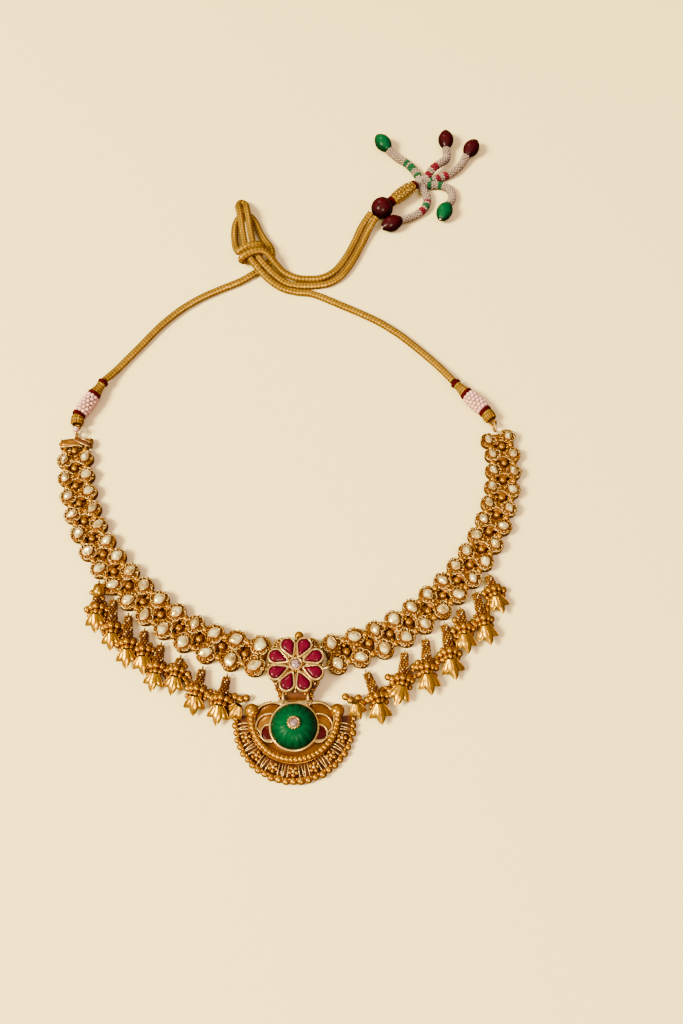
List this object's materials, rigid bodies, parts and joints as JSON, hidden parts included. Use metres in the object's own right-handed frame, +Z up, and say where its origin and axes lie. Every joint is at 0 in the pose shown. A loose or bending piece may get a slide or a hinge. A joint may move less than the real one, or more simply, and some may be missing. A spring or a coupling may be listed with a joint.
{
  "type": "kundan necklace",
  "caption": "Stone-set collar necklace with a ruby rosette, an emerald crescent pendant, small bell drops and knotted thread cords that end in a beaded tassel.",
  "frame": {"origin": "on the surface that the necklace lies on, below the middle of the bounding box of its metal, stones and tassel", "axes": "+Y runs from the pendant to the tassel, +X to the right as the necklace lies face up, +Z up from the surface"},
  "size_m": [0.1661, 0.2676, 0.0099],
  "materials": {
    "gold": "satin, warm, with dark recesses",
    "bright_gold": "polished",
    "kundan_stone": "foiled, faceted, clear white",
    "ruby": "foiled cabochon, crimson",
    "emerald": "fluted and polished, deep green",
    "rose_stone": "faceted, pale rose",
    "enamel": "amber, brown and maroon cells",
    "gold_thread": "wound metallic thread with maroon rings",
    "gold_cord": "braided metallic thread",
    "seed_pearl": "pearly pinkish white seed beads",
    "maroon_bead": "polished, opaque",
    "green_bead": "polished; the scene shows three of the five in maroon"
  },
  "bodies": {
    "root": {"link_left_1": "gold", "link_left_2": "gold", "link_left_3": "gold", "link_left_4": "gold", "link_left_5": "gold", "link_left_6": "gold", "link_left_7": "gold", "link_left_8": "gold", "link_left_9": "gold", "link_left_10": "gold", "link_left_11": "gold", "link_left_12": "gold", "link_left_13": "gold", "link_left_14": "gold", "link_left_15": "gold", "link_right_1": "gold", "link_right_2": "gold", "link_right_3": "gold", "link_right_4": "gold", "link_right_5": "gold", "link_right_6": "gold", "link_right_7": "gold", "link_right_8": "gold", "link_right_9": "gold", "link_right_10": "gold", "link_right_11": "gold", "link_right_12": "gold", "link_right_13": "gold", "link_right_14": "gold", "link_right_15": "gold", "link_right_16": "gold", "end_plate_left": "gold", "band_stones_left": "kundan_stone", "band_stones_right": "kundan_stone", "band_balls_left": "bright_gold", "band_balls_right": "bright_gold", "band_wires": "gold", "drop_stems_left": "gold", "drop_stems_right": "gold", "drop_bells_left": "bright_gold", "drop_bells_right": "bright_gold", "rosette_setting": "gold", "rosette_stones": "ruby", "pendant_rings": "gold", "pendant_frame": "gold", "pendant_emerald": "emerald", "pendant_collet": "bright_gold", "pendant_diamond": "rose_stone", "pendant_enamel": "enamel", "end_rings": "gold", "cord_end_left": "gold_thread", "cord_end_right": "gold_thread", "pearl_sleeve_left": "seed_pearl", "pearl_sleeve_right": "seed_pearl", "cord_left": "gold_cord", "cord_right": "gold_cord", "slider_bead": "maroon_bead", "tassel_barrel": "gold_thread", "tassel_strands": "seed_pearl", "tassel_beads": "green_bead"}
  },
  "joints": []
}
